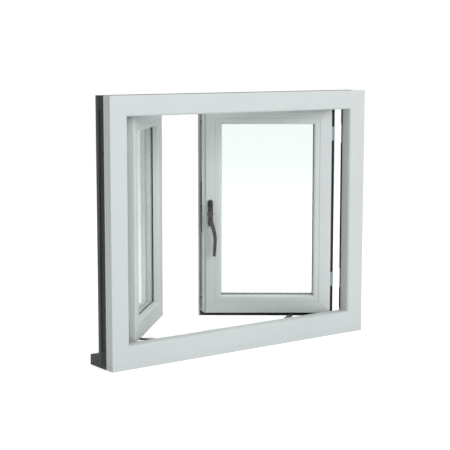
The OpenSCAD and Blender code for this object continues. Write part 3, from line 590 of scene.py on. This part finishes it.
# ---- sash outdoor profiles ----------------------------------------------------------------
# Dark grey profiles roll onto the thermal break outside.  Their flange closes over
# the frame, and it is wider where the two sashes meet.
flange_w, flange_z, flange_at, sash_sight, sash_d = 0.0105, 0.015, 0.0335, 0.050, 0.060
meet_flange, glass_lip = 0.017, 0.049
astragal_back = 0.040
slope_w, slope_d = 0.003, 0.005
outer_end = [(face_w, flange_at), (face_w, glass_lip), (sash_sight, glass_lip),
             (sash_sight, sash_d - slope_d), (sash_sight - slope_w, sash_d)]
end_radii = [0.0004, 0.0003, 0.0006, 0.0012, 0.0012]
rail_flange, plain_flange = (
    eased([(-w, flange_at), *outer_end, (-w, sash_d)], [0.0006, *end_radii, 0.0018], 4)
    for w in (flange_z, flange_w))
meeting_flange = {
    "left": eased([(-meet_flange, flange_at), *outer_end, (-meet_flange, sash_d)],
                  [0.0006, *end_radii, 0.0036], 6),
    "right": eased([(-meet_flange, astragal_back), (-meet_step, astragal_back), (-meet_step, flange_at),
                    *outer_end, (-meet_flange, sash_d)], [0.0005, 0.0003, 0.0003, *end_radii, 0.0036], 6)}
flange_span = (sash_span[0] - flange_z, sash_span[1] + flange_z)


def cut_square(place):
    """The same place, with nothing past the hinge edge's flange."""
    return lambda a, v, b: place(np.maximum(a, -pivot_inset - flange_w), v, b)


for hand in hands:
    place = in_sash(hand)
    members = [mitred(rail_flange, sash_rectangle, s, cut_square(place)) for s in ("top", "bottom")]
    members += [mitred(plain_flange, sash_rectangle, "left", place),
                stile_run(meeting_flange[hand], "right", place, *flange_span)]
    piece = lay_mesh(f"{hand}_outdoor_members", members)
    fit(piece, anthracite, f"sash_{hand}", "anthracite", f"{hand}_outer_profiles")

# ---- glazing ------------------------------------------------------------------------------
# Two panes of clear float glass with an aluminium spacer between them, bedded in
# rubber gaskets, carried on plastic packers and held by snap-in beads.
bead_drop, bead_d, bead_gap, bead_ease = 0.0008, 0.018, 0.00012, 0.0006
turn = np.linspace(-math.pi / 2, 0, 9)
bead_round = 0.0062
bead_edge = face_w + bead_gap
bead_outline = np.vstack([
    [(bead_edge, bead_d), (bead_edge, bead_drop + bead_ease), (face_w + 0.0007, bead_drop)],
    np.column_stack([sash_sight - bead_round + bead_round * np.cos(turn),
                     bead_drop + bead_round + bead_round * np.sin(turn)]),
    [(sash_sight, bead_d)]])
lip_round = np.linspace(0, math.pi, 9)
lip_back, lip_reach, lip_half = 0.004, 0.0046, 0.0015
room_lip = np.column_stack([sash_sight - lip_back + lip_reach * np.sin(lip_round) ** 0.6,
                            bead_d + lip_half - lip_half * np.cos(lip_round)])
outdoor_lip = room_lip + (0, glass_lip - 2 * lip_half - bead_d)


def float_glass(name):
    """Clear float glass with the faint green of its iron, which lets lamps through."""
    material, tree, bsdf, place = plain_material(
        name, Transmission_Weight=1.0, IOR=1.5, Base_Color=(0.955, 0.985, 0.97, 1))
    haze = add_node(tree, "ShaderNodeTexNoise", [("Vector", place)], Scale=9.0, Detail=6.0)
    tree.links.new(value_range(tree, haze.outputs["Fac"], 0.0, 0.012), bsdf.inputs["Roughness"])
    clear = add_node(tree, "ShaderNodeBsdfTransparent")
    clear.inputs["Color"].default_value = (0.93, 0.96, 0.95, 1)
    path = add_node(tree, "ShaderNodeLightPath")
    mix = add_node(tree, "ShaderNodeMixShader",
                   [(0, path.outputs["Is Shadow Ray"]), (1, bsdf.outputs[0]), (2, clear.outputs[0])])
    tree.links.new(mix.outputs[0], tree.nodes["Material Output"].inputs["Surface"])
    return material


glass = float_glass("float_glass")


def perforated_spacer(name):
    """Mill finish aluminium spacer with a row of fine breathing holes."""
    material, tree, bsdf, place = plain_material(name, Metallic=0.85)
    dots = add_node(tree, "ShaderNodeTexVoronoi", [("Vector", place)], Scale=330.0)
    dots.inputs["Randomness"].default_value = 0.0
    hole = add_node(tree, "ShaderNodeMapRange", [("Value", dots.outputs["Distance"])])
    hole.inputs["From Min"].default_value = 0.16
    hole.inputs["From Max"].default_value = 0.24
    tree.links.new(blend_colours(tree, hole.outputs[0], (0.12, 0.12, 0.12), (0.62, 0.65, 0.64)),
                   bsdf.inputs["Base Color"])
    tree.links.new(value_range(tree, hole.outputs[0], 0.7, 0.38), bsdf.inputs["Roughness"])
    add_bump(tree, bsdf, hole.outputs[0], 0.4, 0.0002)
    return material


spacer_metal = perforated_spacer("perforated_spacer")


def moulded_plastic(name, low, high, rough, texture=1500.0):
    """Injection moulded plastic with a fine spark-eroded texture."""
    material, tree, bsdf, place = plain_material(name)
    grain = add_node(tree, "ShaderNodeTexNoise", [("Vector", place)], Scale=texture, Detail=3.0)
    cloud = add_node(tree, "ShaderNodeTexNoise", [("Vector", place)], Scale=60.0, Detail=3.0)
    tree.links.new(blend_colours(tree, cloud.outputs["Fac"], low, high), bsdf.inputs["Base Color"])
    tree.links.new(value_range(tree, cloud.outputs["Fac"], *rough), bsdf.inputs["Roughness"])
    add_bump(tree, bsdf, grain.outputs["Fac"], 0.25, 0.00005)
    return material


packer_blue = moulded_plastic("packer_plastic", (0.02, 0.09, 0.26), (0.035, 0.13, 0.34), (0.4, 0.55))
for hand in hands:
    place, body = in_sash(hand), f"sash_{hand}"
    beads = [mitred(bead_outline, sash_rectangle, s, place, bead_gap) for s in sides]
    piece = lay_mesh(f"{hand}_glazing_beads", beads)
    fit(piece, sash_white, body, "sash_white", f"{hand}_beads")
    lips = [mitred(lip, sash_rectangle, s, place, 0.0) for lip in (room_lip, outdoor_lip) for s in sides]
    piece = lay_mesh(f"{hand}_glazing_gaskets", lips, 60)
    fit(piece, epdm, body, "gasket", f"{hand}_gaskets")
    coat_node(f"{hand}_glass_panes", glass)
    coat_node(f"{hand}_spacer", spacer_metal)
    coat_node(f"{hand}_packers", packer_blue)
    coat_node(f"{hand}_weather_seal", epdm)


# ---- meeting edge ------------------------------------------------------------------------
# The astragal on the right sash covers the joint between the closed sashes.  The
# hollow bar on the left sash closes behind it and guides two shoot bolts.
def softened(node, name, width, sharp=38.0):
    """A copy of a CAD node with its loose triangles merged, its flat faces made
    whole and every hard edge rounded by width metres."""
    mesh = frame["nodes"][node].data.copy()
    shape = bmesh.new()
    shape.from_mesh(mesh)
    bmesh.ops.remove_doubles(shape, verts=shape.verts, dist=2e-6)
    bmesh.ops.dissolve_limit(shape, angle_limit=math.radians(0.6), verts=shape.verts, edges=shape.edges)
    shape.to_mesh(mesh)
    shape.free()
    mesh.shade_smooth()
    mesh.set_sharp_from_angle(angle=math.radians(sharp))
    piece = bpy.data.objects.new(name, mesh)
    bpy.context.scene.collection.objects.link(piece)
    rounding = piece.modifiers.new("rounding", "BEVEL")
    rounding.width = width
    rounding.segments = 2
    rounding.limit_method = "ANGLE"
    rounding.angle_limit = math.radians(sharp)
    rounding.harden_normals = True
    return piece


fit(softened("astragal", "astragal_cover", 0.0005), sash_white, "sash_right", "sash_white", "astragal")
fit(softened("meeting_bar", "meeting_bar_profile", 0.0006), sash_white, "sash_left", "sash_white",
    "meeting_bar")

# ---- steel fittings --------------------------------------------------------------------------
# Stays, tracks, bolts and keeps are pressed or turned stainless steel, riveted or
# screwed on.  The dogs are cast zinc and the jamb strips snap into their grooves.
stainless = drawn_material("rolled_stainless", (0.14, 0.143, 0.14), (0.22, 0.225, 0.22), (0.28, 0.44),
                           metallic=1.0)


def cast_metal(name, low, high, rough, metallic):
    """Cast and tumbled metal with a fine uneven skin."""
    material, tree, bsdf, place = plain_material(name, Metallic=metallic)
    skin = add_node(tree, "ShaderNodeTexNoise", [("Vector", place)], Scale=420.0, Detail=5.0)
    tree.links.new(blend_colours(tree, skin.outputs["Fac"], low, high), bsdf.inputs["Base Color"])
    tree.links.new(value_range(tree, skin.outputs["Fac"], *rough), bsdf.inputs["Roughness"])
    add_bump(tree, bsdf, skin.outputs["Fac"], 0.35, 0.00012)
    return material


zinc = cast_metal("cast_zinc", (0.33, 0.38, 0.42), (0.46, 0.52, 0.57), (0.34, 0.5), 0.75)
black_plastic = moulded_plastic("black_moulded_plastic", (0.01, 0.01, 0.01), (0.02, 0.02, 0.02),
                                (0.32, 0.46))
for hand in hands:
    fit(softened(f"stay_tracks_{hand}", f"{hand}_stay_channels", 0.0003), stainless, "frame", "stainless",
        f"stay_tracks_{hand}")
    fit(softened(f"stay_arms_{hand}", f"{hand}_support_arms", 0.0005), stainless,
        f"stay_arms_{hand}", "stainless", f"stay_arms_{hand}")
    fit(softened(f"stay_shoes_{hand}", f"{hand}_sliding_shoes", 0.0004), black_plastic,
        f"stay_shoes_{hand}", "black_plastic", f"stay_shoes_{hand}")
    fit(softened(f"{hand}_sash_bars", f"{hand}_stay_bars", 0.0005), stainless, f"sash_{hand}", "stainless",
        f"{hand}_sash_bars")
    fit(softened(f"{hand}_hinge_dogs", f"{hand}_edge_dogs", 0.0008), zinc, f"sash_{hand}", "zinc",
        f"{hand}_hinge_dogs")
fit(softened("hinge_dogs_frame", "jamb_dogs", 0.0009), zinc, "frame", "zinc", "hinge_dogs_frame")
fit(softened("bolt_keeps", "shoot_bolt_keeps", 0.0005), stainless, "frame", "stainless", "bolt_keeps")
fit(softened("jamb_infill_strips", "jamb_strips", 0.0005), polyamide, "frame", "polyamide",
    "jamb_infill_strips")
for end in ("top", "bottom"):
    fit(softened(f"shoot_bolt_{end}", f"{end}_shoot_bolt", 0.0004), stainless, f"bolt_{end}", "stainless",
        f"shoot_bolt_{end}")

# ---- lock ----------------------------------------------------------------------------------------
# A drive bar with mushroom cams slides behind a dark faceplate in the right sash's
# edge.  The gearbox behind it turns the handle's quarter turn into that slide.
dark_plate = drawn_material("dark_lock_steel", (0.07, 0.07, 0.068), (0.13, 0.13, 0.125), (0.34, 0.5),
                            metallic=0.8, stretch=(40, 40, 1))
fit(softened("espag_faceplate", "lock_faceplate", 0.0004), dark_plate, "sash_right", "lock_dark_steel",
    "espag_faceplate")
fit(softened("espag_drive_bar", "lock_drive_bar", 0.0003), stainless, "drive_bar", "stainless",
    "espag_drive_bar")
plate_low, plate_high = sash_extent("right", "espag_faceplate")
head_r, head_rise, head_t, foot_part = 0.0031, 0.0003, 0.0012, 0.55
recess_depth, recess_half, recess_part, screw_in = 0.0009, 0.00045, 0.68, 0.008


def screw_head(face_u, middle_v, middle_z):
    """A countersunk head with a cross recess, facing the meeting edge.  At (y, z)
    from its middle, r out, it stands rise * (1 - (r/R)^2) off the plate, less
    depth * exp(-(m/w)^4) * (1 - (r/pR)^6) inside pR, with m the smaller of |y|
    and |z|, w the recess's half width and p its part of the radius.  A cone runs
    back under its rim."""
    rings, turns = np.linspace(0.02, 1, 15) * head_r, np.linspace(0, 2 * math.pi, 48, endpoint=False)
    r, t = np.meshgrid(rings, turns, indexing="ij")
    y, z = r * np.cos(t), r * np.sin(t)
    arm = np.exp(-(np.minimum(abs(y), abs(z)) / recess_half) ** 4)
    height = head_rise * (1 - (r / head_r) ** 2)
    height -= recess_depth * arm * np.clip(1 - (r / (recess_part * head_r)) ** 6, 0, 1)
    height = np.vstack([height, np.full(len(turns), -head_t)])
    y, z = (np.vstack([side, foot_part * side[-1]]) for side in (y, z))
    stations = [np.column_stack([face_u + h, middle_v + b, middle_z + c]) for h, b, c in zip(height, y, z)]
    points, faces, piece_map = layers(stations)
    return in_sash("right")(*points.T), faces, piece_map


plate_middle = (plate_low[1] + plate_high[1]) / 2
piece = lay_mesh("faceplate_screws", [screw_head(plate_high[0], plate_middle, z)
                                      for z in (plate_low[2] + screw_in, plate_high[2] - screw_in)], 50)
fit(piece, stainless, "sash_right", "stainless")
coat_node("espag_gearbox", stainless)
coat_node("handle_spindle", stainless)


# ---- handle ----------------------------------------------------------------------------------------
# A die-cast base is screwed through to the gearbox, a black cap over its screw.
# The cranked lever turns on it and locks with a round black push button.
def pewter_lacquer(name):
    """Dark pewter lacquer on cast zinc, rubbed a little paler along its edges."""
    material, tree, bsdf, place = plain_material(name, Metallic=0.55, Coat_Weight=0.25, Coat_Roughness=0.25)
    skin = add_node(tree, "ShaderNodeTexNoise", [("Vector", place)], Scale=260.0, Detail=5.0)
    base = blend_colours(tree, skin.outputs["Fac"], (0.07, 0.062, 0.056), (0.115, 0.104, 0.095))
    rounded = add_node(tree, "ShaderNodeBevel", samples=4)
    rounded.inputs["Radius"].default_value = 0.0012
    flat = add_node(tree, "ShaderNodeNewGeometry")
    facing = add_node(tree, "ShaderNodeVectorMath",
                      [(0, rounded.outputs[0]), (1, flat.outputs["Normal"])], operation="DOT_PRODUCT")
    edge = add_node(tree, "ShaderNodeMapRange", [("Value", facing.outputs["Value"])])
    for label, value in (("From Min", 0.985), ("From Max", 0.9), ("To Min", 0.0), ("To Max", 0.55)):
        edge.inputs[label].default_value = value
    rubbed = add_node(tree, "ShaderNodeMix", [(0, edge.outputs[0])], data_type="RGBA")
    tree.links.new(base, rubbed.inputs[6])
    rubbed.inputs[7].default_value = (0.3, 0.28, 0.26, 1)
    tree.links.new(rubbed.outputs[2], bsdf.inputs["Base Color"])
    tree.links.new(value_range(tree, skin.outputs["Fac"], 0.33, 0.45), bsdf.inputs["Roughness"])
    add_bump(tree, bsdf, skin.outputs["Fac"], 0.2, 0.0001)
    return material


pewter = pewter_lacquer("pewter_lacquer")
fit(softened("handle_base", "handle_rose", 0.0015), pewter, "sash_right", "handle_pewter", "handle_base")
fit(softened("handle_lever", "handle_blade", 0.0015), pewter, "handle", "handle_pewter", "handle_lever")
screw_cap_low, screw_cap_high = sash_extent("right", "handle_cap")
base_top = sash_extent("right", "handle_base")[1][2]


def bullet_cap(middle_u, foot_z, top_z, back_v, half_w, rise):
    """A pillowed cap with a flat foot and a pointed top.  At height t from foot to
    top its half width is half_w * (1 - t^3)^0.6, and across it, at s from -1 to 1,
    it stands rise * sqrt(1 - 0.85 s^2) off the base, lower by a quarter at the top."""
    t, s = np.meshgrid(np.linspace(0, 0.995, 18), np.linspace(-1, 1, 17), indexing="ij")
    u = middle_u + half_w * (1 - t ** 3) ** 0.6 * s
    z = foot_z + (top_z - foot_z) * t
    crown = rise * np.sqrt(1 - 0.85 * s ** 2) * (1 - 0.25 * t ** 2)
    front = np.arange(t.size).reshape(t.shape)
    quads = np.stack([front[:-1, :-1], front[:-1, 1:], front[1:, 1:], front[1:, :-1]], 2).reshape(-1, 4)
    rim = np.concatenate([front[0], front[1:, -1], front[-1, -2::-1], front[-2:0:-1, 0]])
    k = np.arange(len(rim))
    skirt = np.column_stack([rim, rim[(k + 1) % len(rim)], t.size + (k + 1) % len(rim), t.size + k])
    local = np.column_stack([u.ravel(), back_v - crown.ravel(), z.ravel()])
    foot = local[rim].copy()
    foot[:, 1] = back_v
    local = np.vstack([local, foot])
    faces = quads.tolist() + skirt.tolist() + [(t.size + k[::-1]).tolist()]
    loops = np.concatenate([quads.ravel(), skirt.ravel(), t.size + k[::-1]])
    return in_sash("right")(*local.T), faces, local[loops][:, [0, 2]]


cap_u, half_cap = (screw_cap_low[0] + screw_cap_high[0]) / 2, (screw_cap_high[0] - screw_cap_low[0]) / 2
cap_rise = screw_cap_high[1] - screw_cap_low[1]
cap_shift = 0.0012
cap_surface = bullet_cap(cap_u, screw_cap_low[2] - cap_shift, base_top - cap_shift, screw_cap_high[1],
                         half_cap, cap_rise)
piece = lay_mesh("handle_screw_cap", [cap_surface], 50)
fit(piece, black_plastic, "sash_right", "black_plastic", "handle_cap")
fit(softened("lock_button", "handle_lock_button", 0.0006), black_plastic, "lock_button", "black_plastic",
    "lock_button")
